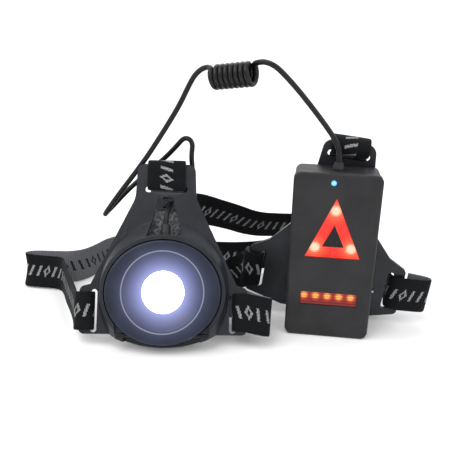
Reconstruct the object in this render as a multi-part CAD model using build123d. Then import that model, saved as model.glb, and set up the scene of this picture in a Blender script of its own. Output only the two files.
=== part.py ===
from build123d import *
from math import cos, pi, radians, sin, tan
import os

# Chest-worn running light: a white lamp on a three-armed front plate, a battery case with a red
# warning light on a three-armed rear plate, three elastic straps and a cable with a coiled middle.
# Millimetres, +Z up. The set stands on z = 0 with both lights facing -Y.

# ---------------------------------------------------------------- driving dimensions
STRAP_W = 20.0            # elastic webbing
STRAP_T = 1.2
SLOT_L = 22.6             # strap slots in both plates
SLOT_W = 3.6
GAP = 0.3                 # clearance between pieces that move past each other

# front plate, in its own flat frame: u to the right, v up the plate, w out of its face
LAMP_X, LAMP_Y = -36.3, -36.3      # where the middle of its lower edge stands
LAMP_YAW = 1.8
LAMP_LEAN = 26.0                   # it leans back by this angle
PLATE_T = 2.5
PLATE_H = 97.5
ARM_HALF = 15.4                    # half width of the upper arm
KNEE_V, KNEE_HALF = 79.0, 16.2     # where the arm starts to widen
HIP_V, HIP_HALF = 33.0, 38.4       # where the side arms start
SIDE_HALF = 44.0                   # half width over the side arms
SIDE_TOP, SIDE_BOTTOM = 31.5, 7.0
BULGE_DEPTH = 7.0                  # how far the lower edge hangs below the side arms
SIDE_SLOT_U, SIDE_SLOT_V = 36.4, 19.0
TOP_SLOT_V = 84.0
WINDOW_LOW, WINDOW_HIGH = 50.0, 80.0
WINDOW_LOW_HALF, WINDOW_HIGH_HALF = 11.4, 3.6
PAD_T = 4.5
PAD_INSET = 4.0
PAD_TOP = 69.0
PAD_CLEAR = 2.6                    # from the pads to the side slots

# lamp head
HEAD_V = 29.0                      # middle of the head on the plate
HEAD_HALF_W, HEAD_HALF_H = 30.0, 27.0
HEAD_BACK, HEAD_FRONT = 4.0, 11.0
BORE_GAP = 0.5                     # between the head and its collar
COLLAR_WALL = 2.5
COLLAR_TOP = 9.8
RAMP_SIDE, RAMP_TOP = 1.4, 9.0     # how far the sloping skirt spreads beyond the collar
NOTCH_HALF, NOTCH_TOP = 19.8, 12.0 # the collar is open here, below the head's chin
NOTCH_FLOOR = 0.8                  # what is left of the plate under the chin
PIN_V, PIN_W, PIN_R = 6.9, 6.8, 1.2 # hinge axis of the head
PIN_INNER, PIN_OUTER = 13.5, 23.5
LUG_WALL = 2.3                     # round each pin
SEAT_OPEN = 7.4                    # the pins' seats are open above this, and the collar is cut away
RELIEF_HALF, RELIEF_TOP = 24.2, 12.1           # as far as the tilting head needs
PIN_GAP = 0.05
GLAND_U, GLAND_W, GLAND_R, GLAND_L = 0.4, 5.0, 1.9, 5.6   # cable entry at the top of the collar
LENS_R = 10.8
LENS_BACK, LENS_RIM = 5.4, 6.8
TRIM_R, TRIM_W = 21.2, 0.7         # bright ring on the bezel
SHELL_R, SHELL_BACK, SHELL_WALL = 24.0, 0.8, 1.3
SINK_T, BOARD_T = 1.0, 1.0
CHIP = 5.0
LAMP_SCREW_R, LAMP_SCREW_CIRCLE = 1.0, 18.0

# battery case, in its own frame: x to the right, y back, z up, origin at its front lower edge
CASE_X, CASE_Y = 51.0, -20.0
CASE_YAW = -6.7
CASE_W, CASE_D, CASE_H = 45.0, 22.5, 92.0
COVER_D = 5.0                      # depth of the front cover
CASE_STEP = 0.5                    # the body is this much smaller all round than the cover
CASE_R = 4.0
CASE_WALL = 1.8
TRI_W, TRI_H, TRI_LOW = 28.6, 32.2, 46.8       # triangular red lens
TRI_IN_W, TRI_IN_H, TRI_IN_LOW = 11.2, 11.8, 53.0
BAR_W, BAR_H, BAR_LOW = 29.6, 7.3, 19.2
BAR_LEDS, BAR_PITCH, BAR_LED_Z = 5, 6.2, 24.4
LENS_DEPTH = 2.4
LENS_FIT = 0.1
INDICATOR_X, INDICATOR_Z, INDICATOR_R = -2.2, 87.2, 1.4
BOARD_BACK, PCB_T = 7.8, 1.2
PCB_W, PCB_LOW, PCB_HIGH = 38.0, 8.0, 89.0
SCREWS = [(-16.0, 11.0), (16.0, 11.0), (-10.0, 83.5), (10.0, 83.5)]
SCREW_R, SCREW_HEAD_R, BOSS_R = 1.1, 2.1, 2.4
SCREW_BITE = 1.0                   # the screws end this far behind the cover's inner face
CELL_W, CELL_T, CELL_H, CELL_LOW = 34.0, 8.0, 60.0, 17.0
TAPE_T = 1.6
BUTTON_Y, BUTTON_Z = 14.0, 62.0
BUTTON_W, BUTTON_H, BUTTON_OUT = 6.0, 11.0, 1.2
BUTTON_GAP = 0.1
BUTTON_TRAVEL = 0.7
USB_Z, USB_W, USB_T, USB_L = 34.0, 7.6, 2.8, 6.0
COVER_T, COVER_HALF_W, COVER_REACH = 1.2, 4.0, 12.0
COVER_PIN_R, COVER_KNUCKLE_R = 0.5, 1.1
EAR_T, EAR_GAP = 1.6, 0.2
GLAND_Y = 11.25

# rear plate, turned a little on the back of the case
REAR_TURN = 6.0
REAR_PIVOT_Z = 46.0
REAR_H = 104.0
REAR_ARM_HALF = 13.5
REAR_SHOULDER_V, REAR_SHOULDER_HALF = 60.0, 19.0
REAR_HIP_V, REAR_HIP_HALF = 43.0, 34.0
REAR_SIDE_TOP, REAR_SIDE_BOTTOM = 37.5, 10.5
REAR_LOW, REAR_LOW_HALF = 4.5, 22.0
REAR_SLOT_V, REAR_TOP_SLOT_V = 24.0, 97.0

# cable
CABLE_D = 2.8
COIL_D, COIL_L = 13.0, 25.0
COIL_MIDDLE = Vector(-3.0, 0.7, 136.2)
COIL_AXIS = Vector(0.915, -0.377, 0.144).normalized()

# strap sliders
SLIDER_RIM, SLIDER_T = 2.6, 1.6

# the whole layout is moved by this, so that the origin is the middle of the footprint
SET_X, SET_Y = 10.394, -18.731


# ---------------------------------------------------------------- helpers
def turned(*profile):
    """Solid of revolution about Z from (radius, height) points."""
    return revolve(Plane.XZ * make_face(Polyline(*profile, close=True)), Axis.Z)


def slab(face, low, high):
    """A flat outline in XY, thick from z = low to z = high."""
    return Pos(0, 0, low) * extrude(face, high - low)


def upright(face, front, back):
    """An outline drawn as x across and z up, deep from y = front to y = back."""
    return Pos(0, front, 0) * extrude(Plane.XZ * face, front - back)


def polygon(*points):
    return make_face(Polyline(*points, close=True))


def block(x0, x1, y0, y1, z0, z1):
    return Pos((x0 + x1) / 2, (y0 + y1) / 2, (z0 + z1) / 2) * Box(x1 - x0, y1 - y0, z1 - z0)


def mirrored_points(right_half):
    """Outline points: the right half from the top down, then its mirror image."""
    return right_half + [(-u, v) for u, v in reversed(right_half)]


LEAN, YAW = radians(LAMP_LEAN), radians(LAMP_YAW)
lamp_plane = Plane(origin=(LAMP_X, LAMP_Y, 0), x_dir=(cos(YAW), sin(YAW), 0),
                   z_dir=(sin(YAW) * cos(LEAN), -cos(YAW) * cos(LEAN), sin(LEAN)))
case_at = Location((CASE_X, CASE_Y, 0), (0, 0, CASE_YAW))
rear_turn = Location((0, 0, REAR_PIVOT_Z)) * Location((0, 0, 0), (0, REAR_TURN, 0)) \
    * Location((0, 0, -REAR_PIVOT_Z))
rear_at = case_at * rear_turn


def lamp_point(u, v, w):
    return lamp_plane.from_local_coords(Vector(u, v, w))


def placed_point(location, x, y, z):
    return (location * Location((x, y, z))).position


# ---------------------------------------------------------------- front plate
def plate_outline():
    bulge = SIDE_BOTTOM - BULGE_DEPTH
    right = [(ARM_HALF, PLATE_H), (KNEE_HALF, KNEE_V), (HIP_HALF, HIP_V), (SIDE_HALF, SIDE_TOP),
             (SIDE_HALF, SIDE_BOTTOM), (HEAD_HALF_W - 2, SIDE_BOTTOM)]
    left = [(-u, v) for u, v in reversed(right)]
    sides = Polyline(*(left + right))
    edge = ThreePointArc(right[-1], (0, bulge), left[0])
    outline = make_face([sides, edge])
    corners = outline.vertices()
    outline = fillet(corners.filter_by(lambda p: p.Y > PLATE_H - 1), 4.0)
    outline = fillet(outline.vertices().filter_by(lambda p: abs(p.Y - KNEE_V) < 0.1), 14.0)
    outline = fillet(outline.vertices().filter_by(lambda p: abs(p.X) > SIDE_HALF - 0.1), 3.0)
    return outline


def head_outline(grow=0.0):
    return Pos(0, HEAD_V) * Ellipse(HEAD_HALF_W + grow, HEAD_HALF_H + grow)


def window_outline():
    return polygon((-WINDOW_LOW_HALF, WINDOW_LOW), (WINDOW_LOW_HALF, WINDOW_LOW),
                   (WINDOW_HIGH_HALF, WINDOW_HIGH), (-WINDOW_HIGH_HALF, WINDOW_HIGH))


def skirt(thinner, low, high):
    """Sloping skirt round the head, from a wide foot to the top of the collar."""
    collar = BORE_GAP + COLLAR_WALL
    foot = Pos(0, HEAD_V, low) * Ellipse(HEAD_HALF_W + collar + RAMP_SIDE - thinner,
                                         HEAD_HALF_H + collar + RAMP_TOP - thinner)
    crown = Pos(0, 0, high) * head_outline(collar - 0.6)
    return loft([foot, crown])


def lugs():
    """The two blocks that hold the hinge pins."""
    reach = PIN_R + LUG_WALL
    return [block(*sorted((side * NOTCH_HALF, side * (PIN_OUTER + 0.5))),
                  PIN_V - reach, PIN_V + reach, 0, PIN_W + reach) for side in (-1, 1)]


def front_plate():
    outline = plate_outline()
    collar = BORE_GAP + COLLAR_WALL
    ramp = skirt(0, PLATE_T - 0.5, COLLAR_TOP)
    body = slab(outline, 0, PLATE_T) + (ramp & slab(outline, 0, COLLAR_TOP))
    hollow = skirt(2.4, -0.5, COLLAR_TOP - 2.4) - slab(head_outline(collar), -1, COLLAR_TOP)
    hollow &= slab(offset(outline, -2.2), -1, COLLAR_TOP)
    body -= hollow - block(-RELIEF_HALF, RELIEF_HALF, -5, NOTCH_TOP + 1, -1, COLLAR_TOP)
    above = slab(outline, 0, COLLAR_TOP)
    body += [lug & above for lug in lugs()]
    window = slab(window_outline(), -1, COLLAR_TOP + 1) - slab(head_outline(collar), -1, COLLAR_TOP + 1)
    body -= window
    body -= slab(head_outline(BORE_GAP), -1, COLLAR_TOP + 1)
    body -= block(-NOTCH_HALF, NOTCH_HALF, -5, NOTCH_TOP, NOTCH_FLOOR, COLLAR_TOP + 1)
    for side in (-1, 1):
        body -= block(*sorted((side * (NOTCH_HALF - 1), side * RELIEF_HALF)), -5, RELIEF_TOP,
                      SEAT_OPEN, COLLAR_TOP + 1)
        body -= slab(Pos(side * SIDE_SLOT_U, SIDE_SLOT_V) * SlotOverall(SLOT_L, SLOT_W, 90), -1, 9)
        body -= Pos(side * PIN_OUTER / 2, PIN_V, PIN_W) * Rot(0, 90, 0) * Cylinder(PIN_R, PIN_OUTER)
    body -= slab(Pos(0, TOP_SLOT_V) * SlotOverall(SLOT_L, SLOT_W), -1, 9)
    body -= lamp_gland_hole()
    return body


def gland_seat():
    return HEAD_V + HEAD_HALF_H + BORE_GAP + COLLAR_WALL


def lamp_gland_hole():
    return Pos(GLAND_U, gland_seat(), GLAND_W) * Rot(90, 0, 0) * Cylinder(GLAND_R, 10)


def front_pad():
    outline = offset(plate_outline(), -PAD_INSET)
    body = slab(outline, -PAD_T, 0)
    side = SIDE_SLOT_U - SLOT_W / 2 - PAD_CLEAR
    body &= block(-side, side, -5, PAD_TOP, -PAD_T, 0)
    return body


def lamp_gland():
    flange = turned((0, 0), (2.6, 0), (2.6, 1.4), (2.0, GLAND_L), (0, GLAND_L))
    shank = Pos(0, 0, -COLLAR_WALL / 2) * Cylinder(GLAND_R, COLLAR_WALL)
    return Pos(GLAND_U, gland_seat(), GLAND_W) * Rot(-90, 0, 0) * (flange + shank)


def hinge_pins():
    length = PIN_OUTER - PIN_INNER
    pin = Rot(0, 90, 0) * Cylinder(PIN_R, length)
    return [Pos(side * (PIN_INNER + PIN_OUTER) / 2, PIN_V, PIN_W) * pin for side in (-1, 1)]


# ---------------------------------------------------------------- lamp head
def lamp_bezel():
    body = slab(head_outline(), HEAD_BACK, HEAD_FRONT)
    body = fillet(body.edges().group_by(Axis.Z)[-1], 1.3)
    dish = turned((0, 20), (20.2, 20), (20.2, HEAD_FRONT), (19.4, HEAD_FRONT - 0.4),
                  (LENS_R + 0.2, 8.2), (LENS_R + 0.2, LENS_RIM), (LENS_R + 1.3, LENS_RIM),
                  (LENS_R + 1.3, 0), (0, 0))
    hollow = turned((13.6, 0), (22.4, 0), (22.4, 7.4), (13.6, 7.4))
    groove = turned((TRIM_R - TRIM_W / 2, 10.6), (TRIM_R + TRIM_W / 2, 10.6),
                    (TRIM_R + TRIM_W / 2, 12), (TRIM_R - TRIM_W / 2, 12))
    middle = Pos(0, HEAD_V, 0)
    body -= middle * dish
    bosses = [middle * spot * Pos(0, 0, 5.7) * Cylinder(2.2, 3.6) for spot in lamp_screw_spots()]
    body -= middle * hollow
    body += bosses
    body -= middle * groove
    for spot in lamp_screw_spots():
        body -= middle * spot * Pos(0, 0, 5.0) * Cylinder(LAMP_SCREW_R, 3.0)
    for side in (-1, 1):
        reach = HEAD_HALF_W - PIN_INNER
        body -= Pos(side * (PIN_INNER + reach / 2), PIN_V, PIN_W) * Rot(0, 90, 0) \
            * Cylinder(PIN_R + PIN_GAP, reach)
    return body


def lamp_screw_spots():
    return PolarLocations(LAMP_SCREW_CIRCLE, 3, start_angle=90)


def trim_ring():
    return Pos(0, HEAD_V, 0) * turned((TRIM_R - TRIM_W / 2, 10.6), (TRIM_R + TRIM_W / 2, 10.6),
                                      (TRIM_R + TRIM_W / 2, 11.3), (TRIM_R - TRIM_W / 2, 11.3))


def lamp_lens():
    flange = LENS_R + 1.1
    disc = turned((0, LENS_BACK), (flange, LENS_BACK), (flange, LENS_RIM), (LENS_R, LENS_RIM),
                  (LENS_R, 8.4), (LENS_R - 1.2, 9.2), (6.5, 9.9), (0, 10.3))
    return Pos(0, HEAD_V, 0) * disc


def lamp_shell():
    inner = SHELL_R - SHELL_WALL
    floor = SHELL_BACK + SHELL_WALL
    cup = turned((0, SHELL_BACK), (SHELL_R - 1, SHELL_BACK), (SHELL_R, SHELL_BACK + 1),
                 (SHELL_R, HEAD_BACK), (inner, HEAD_BACK), (inner, floor), (0, floor))
    for spot in lamp_screw_spots():
        cup -= spot * Pos(0, 0, floor - 1) * Cylinder(LAMP_SCREW_R, 4)
        cup -= spot * Pos(0, 0, SHELL_BACK) * Cylinder(1.9, 1.4)
    return Pos(0, HEAD_V, 0) * cup


def heat_sink():
    low = SHELL_BACK + SHELL_WALL
    plate = Pos(0, 0, low + SINK_T / 2) * Cylinder(SHELL_R - SHELL_WALL, SINK_T)
    for spot in lamp_screw_spots():
        plate -= spot * Pos(0, 0, low + SINK_T / 2) * Cylinder(LAMP_SCREW_R, SINK_T)
    return Pos(0, HEAD_V, 0) * plate


def led_board():
    low = SHELL_BACK + SHELL_WALL + SINK_T
    return Pos(0, HEAD_V, low + BOARD_T / 2) * Cylinder(LENS_R + 0.8, BOARD_T)


def led_emitter():
    low = SHELL_BACK + SHELL_WALL + SINK_T + BOARD_T
    chip = Pos(0, 0, low + 0.35) * Box(CHIP, CHIP, 0.7)
    dome = Pos(0, 0, low + 0.7) * Cylinder(1.9, 0.4, align=(Align.CENTER, Align.CENTER, Align.MIN))
    return Pos(0, HEAD_V, 0) * (chip + dome)


def lens_seal():
    low = SHELL_BACK + SHELL_WALL + SINK_T + BOARD_T
    ring = turned((LENS_R - 1.2, low), (LENS_R + 0.6, low), (LENS_R + 0.6, LENS_BACK),
                  (LENS_R - 1.2, LENS_BACK))
    return Pos(0, HEAD_V, 0) * ring


def lamp_screws():
    shank = turned((0, SHELL_BACK), (1.8, SHELL_BACK), (1.8, SHELL_BACK + 0.7),
                   (LAMP_SCREW_R, SHELL_BACK + 0.7), (LAMP_SCREW_R, 6.3), (0, 6.3))
    return [Pos(0, HEAD_V, 0) * spot * shank for spot in lamp_screw_spots()]


# ---------------------------------------------------------------- battery case
def case_outline(inset=0.0):
    radius = max(CASE_R - inset, 0.8)
    return Pos(0, CASE_H / 2) * RectangleRounded(CASE_W - 2 * inset, CASE_H - 2 * inset, radius)


def triangle(width, height, low):
    return polygon((-width / 2, low), (width / 2, low), (0, low + height))


def bar_outline(gap=0.0):
    return Pos(0, BAR_LOW + BAR_H / 2) * Rectangle(BAR_W + 2 * gap, BAR_H + 2 * gap)


def screw_bores(front, back, radius):
    return [upright(Pos(x, z) * Circle(radius), front, back) for x, z in SCREWS]


def case_cover():
    body = upright(case_outline(), 0, COVER_D)
    body = fillet(body.edges().group_by(Axis.Y)[0], 1.5)
    body -= upright(case_outline(CASE_WALL), CASE_WALL, COVER_D + 1)
    body += screw_bosses(CASE_WALL, BOARD_BACK - PCB_T)
    body -= screw_bores(CASE_WALL + SCREW_BITE, BOARD_BACK, SCREW_R)
    body -= upright(offset(triangle(TRI_W, TRI_H, TRI_LOW), LENS_FIT, kind=Kind.INTERSECTION), -1, 3)
    body -= upright(bar_outline(LENS_FIT), -1, 3)
    body -= upright(Pos(INDICATOR_X, INDICATOR_Z) * Circle(INDICATOR_R), -1, 3)
    return body


def screw_bosses(front, back):
    return [upright(Pos(x, z) * Circle(BOSS_R), front, back) for x, z in SCREWS]


def side_x():
    return CASE_W / 2 - CASE_STEP


def case_body():
    body = upright(case_outline(CASE_STEP), COVER_D, CASE_D)
    body = fillet(body.edges().group_by(Axis.Y)[-1], 1.5)
    body -= upright(case_outline(CASE_STEP + CASE_WALL), COVER_D - 1, CASE_D - CASE_WALL)
    body += screw_bosses(BOARD_BACK, CASE_D - CASE_WALL)
    body -= screw_bores(0, CASE_D + 1, SCREW_R)
    wall = side_x() - CASE_WALL
    body -= block(wall - 1, side_x() + 1, BUTTON_Y - BUTTON_W / 2, BUTTON_Y + BUTTON_W / 2,
                  BUTTON_Z - BUTTON_H / 2, BUTTON_Z + BUTTON_H / 2)
    slot_y = BOARD_BACK + USB_T / 2
    body -= block(wall - 1, side_x() + 1, slot_y - USB_T / 2 - 0.3, slot_y + USB_T / 2 + 0.3,
                  USB_Z - USB_W / 2 - 0.5, USB_Z + USB_W / 2 + 0.5)
    body -= Pos(0, GLAND_Y, CASE_H - 2) * Cylinder(2.2, 6)
    for low, high in ear_spans():
        body += block(side_x() - 0.5, hinge_x() + 0.9, low, high, hinge_z() - 1.0, hinge_z() + 1.0)
        body -= Pos(hinge_x(), (low + high) / 2, hinge_z()) * Rot(90, 0, 0) \
            * Cylinder(COVER_PIN_R, high - low + 1)
    return body


def case_seal():
    inner = CASE_STEP + CASE_WALL
    ring = upright(case_outline(inner), COVER_D - 1.4, COVER_D + 1.2)
    return ring - upright(case_outline(inner + 1.0), 0, CASE_D)


def triangle_lens():
    plate = upright(triangle(TRI_W, TRI_H, TRI_LOW), 0.5, LENS_DEPTH)
    return plate - upright(triangle(TRI_IN_W, TRI_IN_H, TRI_IN_LOW), 0, 1.6)


def triangle_badge():
    return upright(triangle(TRI_IN_W, TRI_IN_H, TRI_IN_LOW), 0.2, 1.6)


def triangle_led_spots():
    return [(0, 72.8), (-9.0, 52.0), (9.0, 52.0)]


def bar_led_spots():
    first = -BAR_PITCH * (BAR_LEDS - 1) / 2
    return [(first + i * BAR_PITCH - 0.7, BAR_LED_Z) for i in range(BAR_LEDS)]


def chips(spots, size):
    front = BOARD_BACK - PCB_T - 1.2
    return [upright(Pos(x, z) * Rectangle(size, size), front, front + 1.2) for x, z in spots]


def bar_lens():
    plate = upright(bar_outline(), 0.6, LENS_DEPTH)
    ribs = 5
    step = BAR_H / ribs
    for i in range(ribs - 1):
        z = BAR_LOW + (i + 1) * step
        plate -= block(-BAR_W / 2, BAR_W / 2, 0, 0.9, z - 0.15, z + 0.15)
    return plate


def indicator_pipe():
    return upright(Pos(INDICATOR_X, INDICATOR_Z) * Circle(INDICATOR_R), 0.1, BOARD_BACK - PCB_T - 1.2)


def circuit_board():
    board = upright(Pos(0, (PCB_LOW + PCB_HIGH) / 2) * Rectangle(PCB_W, PCB_HIGH - PCB_LOW),
                    BOARD_BACK - PCB_T, BOARD_BACK)
    return board - screw_bores(0, CASE_D, SCREW_R)


def battery_tape():
    return block(-12, 12, BOARD_BACK, BOARD_BACK + TAPE_T, CELL_LOW + 5, CELL_LOW + CELL_H - 5)


def battery_cell():
    front = BOARD_BACK + TAPE_T
    body = block(-CELL_W / 2, CELL_W / 2, front, front + CELL_T, CELL_LOW, CELL_LOW + CELL_H)
    body -= block(14, 21, front - 1, front + CELL_T + 1, BUTTON_Z - 9, BUTTON_Z + 20)
    body -= block(13, 21, front - 1, front + 3, USB_Z - 6, USB_Z + 6)
    return fillet(body.edges().filter_by(Axis.Z).sort_by(Axis.X)[:2], 2.0)


def tact_switch():
    end = side_x() - CASE_WALL - 0.8 - BUTTON_TRAVEL
    return block(end - 3.6, end, BOARD_BACK, BUTTON_Y + 2, BUTTON_Z - 3, BUTTON_Z + 3)


def power_button():
    wall = side_x() - CASE_WALL
    stem_w, stem_h = BUTTON_W - 2 * BUTTON_GAP, BUTTON_H - 2 * BUTTON_GAP
    stem = block(wall - 0.1, side_x() + BUTTON_OUT, BUTTON_Y - stem_w / 2, BUTTON_Y + stem_w / 2,
                 BUTTON_Z - stem_h / 2, BUTTON_Z + stem_h / 2)
    stem = fillet(stem.edges().group_by(Axis.X)[-1], 0.5)
    flange = block(wall - 0.7, wall - 0.1, BUTTON_Y - stem_w / 2 - 1, BUTTON_Y + stem_w / 2 + 1,
                   BUTTON_Z - stem_h / 2 - 1, BUTTON_Z + stem_h / 2 + 1)
    return stem + flange


def usb_socket():
    outer = side_x() - CASE_WALL + 0.6
    shell = block(outer - USB_L, outer, BOARD_BACK, BOARD_BACK + USB_T,
                  USB_Z - USB_W / 2, USB_Z + USB_W / 2)
    mouth = block(outer - USB_L + 1, outer + 1, BOARD_BACK + 0.4, BOARD_BACK + USB_T - 0.4,
                  USB_Z - USB_W / 2 + 0.4, USB_Z + USB_W / 2 - 0.4)
    return shell - mouth


def hinge_x():
    return side_x() + COVER_KNUCKLE_R + 0.3


def hinge_z():
    return USB_Z - USB_W / 2 - 3.2


def cover_y():
    return BOARD_BACK + USB_T / 2


def ear_spans():
    return [(cover_y() - COVER_HALF_W, cover_y() - COVER_HALF_W + EAR_T),
            (cover_y() + COVER_HALF_W - EAR_T, cover_y() + COVER_HALF_W)]


def usb_cover():
    low_y = cover_y() - COVER_HALF_W + EAR_T + EAR_GAP
    high_y = cover_y() + COVER_HALF_W - EAR_T - EAR_GAP
    x0 = side_x() + GAP
    flap = block(x0, x0 + COVER_T, cover_y() - COVER_HALF_W, cover_y() + COVER_HALF_W,
                 hinge_z() + 1.6, hinge_z() + COVER_REACH)
    neck = block(x0, x0 + COVER_T, low_y, high_y, hinge_z(), hinge_z() + 1.8)
    knuckle = Pos(hinge_x(), cover_y(), hinge_z()) * Rot(90, 0, 0) \
        * Cylinder(COVER_KNUCKLE_R, high_y - low_y)
    plug = block(side_x() - 0.9, x0 + 0.1, cover_y() - USB_T / 2 + 0.2, cover_y() + USB_T / 2 - 0.2,
                 USB_Z - USB_W / 2 + 0.4, USB_Z + USB_W / 2 - 0.2)
    bore = Pos(hinge_x(), cover_y(), hinge_z()) * Rot(90, 0, 0) \
        * Cylinder(COVER_PIN_R + PIN_GAP, 2 * COVER_HALF_W)
    return flap + neck + knuckle + plug - bore


def usb_cover_pin():
    return Pos(hinge_x(), cover_y(), hinge_z()) * Rot(90, 0, 0) * Cylinder(COVER_PIN_R, 2 * COVER_HALF_W)


def case_gland_top():
    return CASE_H - CASE_STEP + 4.2


def case_gland():
    top = CASE_H - CASE_STEP
    return Pos(0, GLAND_Y, 0) * turned((0, top - 3), (2.2, top - 3), (2.2, top), (3.1, top),
                                       (3.1, top + 1.0), (2.1, case_gland_top()),
                                       (0, case_gland_top()))


# ---------------------------------------------------------------- rear plate
def rear_outline():
    right = [(REAR_ARM_HALF, REAR_H), (REAR_SHOULDER_HALF - 2, REAR_SHOULDER_V + 16),
             (REAR_SHOULDER_HALF, REAR_SHOULDER_V), (REAR_HIP_HALF, REAR_HIP_V),
             (SIDE_HALF, REAR_SIDE_TOP), (SIDE_HALF, REAR_SIDE_BOTTOM), (REAR_LOW_HALF, REAR_LOW)]
    outline = polygon(*mirrored_points(right))
    outline = fillet(outline.vertices().filter_by(lambda p: p.Y > REAR_H - 1), 5.0)
    return fillet(outline.vertices().filter_by(lambda p: abs(p.X) > SIDE_HALF - 0.1), 3.0)


def rear_slots(front, back):
    cuts = [upright(Pos(side * SIDE_SLOT_U, REAR_SLOT_V) * SlotOverall(SLOT_L, SLOT_W, 90), front, back)
            for side in (-1, 1)]
    return cuts + [upright(Pos(0, REAR_TOP_SLOT_V) * SlotOverall(SLOT_L, SLOT_W), front, back)]


def rear_plate():
    body = upright(rear_outline(), CASE_D, CASE_D + PLATE_T)
    body -= rear_slots(CASE_D - 1, CASE_D + PLATE_T + 1)
    return body


def plate_screw_cuts():
    heads = screw_bores(CASE_D + PLATE_T - 1.6, CASE_D + PLATE_T + 1, SCREW_HEAD_R + 0.1)
    return screw_bores(CASE_D - 1, CASE_D + PLATE_T + 1, SCREW_R) + heads


def rear_pad():
    body = upright(offset(rear_outline(), -PAD_INSET), CASE_D + PLATE_T, CASE_D + PLATE_T + PAD_T)
    side = SIDE_SLOT_U - SLOT_W / 2 - PAD_CLEAR
    return body & block(-side, side, CASE_D, CASE_D + 20, 0, REAR_TOP_SLOT_V - SLOT_W / 2 - 4)


def case_screws():
    back = CASE_D + PLATE_T - 0.2
    screws = []
    for x, z in SCREWS:
        shank = upright(Pos(x, z) * Circle(SCREW_R), CASE_WALL + SCREW_BITE, back)
        head = upright(Pos(x, z) * Circle(SCREW_HEAD_R), back - 1.4, back)
        screws.append(shank + head)
    return screws


# ---------------------------------------------------------------- straps
def ribbon(stations):
    """Webbing through (point, direction across the strap) stations, as one closed skin of triangles."""
    points = [Vector(point) for point, _ in stations]
    last = len(points) - 1
    rings = []
    for i, (here, (_, across)) in enumerate(zip(points, stations)):
        along = (points[min(i + 1, last)] - points[max(i - 1, 0)]).normalized()
        side = Vector(across)
        side = (side - along * side.dot(along)).normalized()
        half = side * (STRAP_W / 2)
        thick = along.cross(side) * (STRAP_T / 2)
        rings.append([here - half - thick, here + half - thick, here + half + thick, here - half + thick])
    skin = quad(*reversed(rings[0])) + quad(*rings[last])
    for ring, after in zip(rings, rings[1:]):
        skin += quad(ring[0], ring[1], after[1], after[0]) + quad(ring[1], ring[2], after[2], after[1])
        skin += quad(ring[3], after[3], after[2], ring[2]) + quad(ring[0], after[0], after[3], ring[3])
    return Solid(Shell(skin))


def quad(a, b, c, d):
    return [Face(Wire.make_polygon([a, b, c])), Face(Wire.make_polygon([a, c, d]))]


def on_lamp(across, *points):
    """Stations given in the front plate's own frame."""
    flat = lamp_plane.from_local_coords(Vector(*across)) - lamp_plane.origin
    return [(lamp_point(*point), flat) for point in points]


def on_rear(across, *points):
    """Stations given in the rear plate's own frame."""
    zero = placed_point(rear_at, 0, 0, 0)
    turned_across = placed_point(rear_at, *across) - zero
    return [(placed_point(rear_at, *point), turned_across) for point in points]


def standing(tilt, *points):
    """Stations of a strap that runs on its edge, leaning along tilt."""
    return [(point, (tilt[0], tilt[1], 1.0)) for point in points]


def other_way_up(stations):
    """The same stations once the strap has turned over, with its other face to the front."""
    return [(point, -Vector(across)) for point, across in stations]


def straight(start, end, across, lead=4.0):
    """A stretch that a slider can travel: four stations in one line."""
    a, b = Vector(start), Vector(end)
    step = (b - a).normalized() * lead
    return [(point, across) for point in (a, a + step, b - step, b)]


def rear_x():
    return placed_point(rear_at, 1, 0, 0) - placed_point(rear_at, 0, 0, 0)


def left_strap_stations():
    v = SIDE_SLOT_V
    start = on_lamp((0, 1, 0), (-42.8, v, -1.1), (-38.6, v, -1.1), (-36.8, v, -0.6), (-36.5, v, 1.25),
                    (-36.8, v, 3.1), (-38.8, v, 4.3), (-43.4, v, 4.4), (-46.2, v, 2.2), (-46.8, v, -3.0))
    bundle = standing((0, 0.25), (-90, -8, 12.6), (-99, 12, 11.2), (-104.5, 26, 10.8))
    loop = standing((0, 0.45), (-109, 32.5, 10.4), (-118, 34.2, 10.2), (-127.2, 35.2, 10.2),
                    (-130.2, 36.6, 10.2), (-131.2, 39, 10.2), (-130.2, 41.4, 10.2),
                    (-127.2, 42.8, 10.2), (-116, 42.8, 10.2), (-105, 42.4, 10.4))
    rise = standing((0, 0.15), (-97, 46, 10.6), (-91, 56, 10.6), (-86, 68, 10.6), (-77, 75.5, 10.6),
                    (-62, 76, 10.6))
    half_twist = [((-52, 74.8, 10.8), (0, 0.7, 0.7)), ((-42, 72.6, 11), (0, 1, 0)),
                  ((-32, 70.4, 11), (0, 0.7, -0.7))]
    middle = standing((0, 0), (-20, 68, 10.8), (-2, 67.2, 10.8), (14, 68.0, 11.6))
    middle += straight((22, 66, 13.6), (60, 46, 13.6), (0, 0, 1))
    climb = standing((0, 0), (74, 35.4, 14.6), (84.4, 26.4, 17), (90, 16, 19))
    v = REAR_SLOT_V
    end = on_rear((0, 0, 1), (36.9, 29.4, v), (36.2, 25.0, v), (37.4, 21.4, v), (40.6, 20.4, v),
                  (44.4, 20.6, v), (50, 21.7, v), (56.4, 23.0, v), (58.6, 24.2, v), (59.3, 25.9, v),
                  (58.6, 27.6, v), (56.4, 28.8, v), (47, 29.8, v))
    return start + bundle + loop + rise + half_twist + other_way_up(middle + climb + end)


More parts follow.
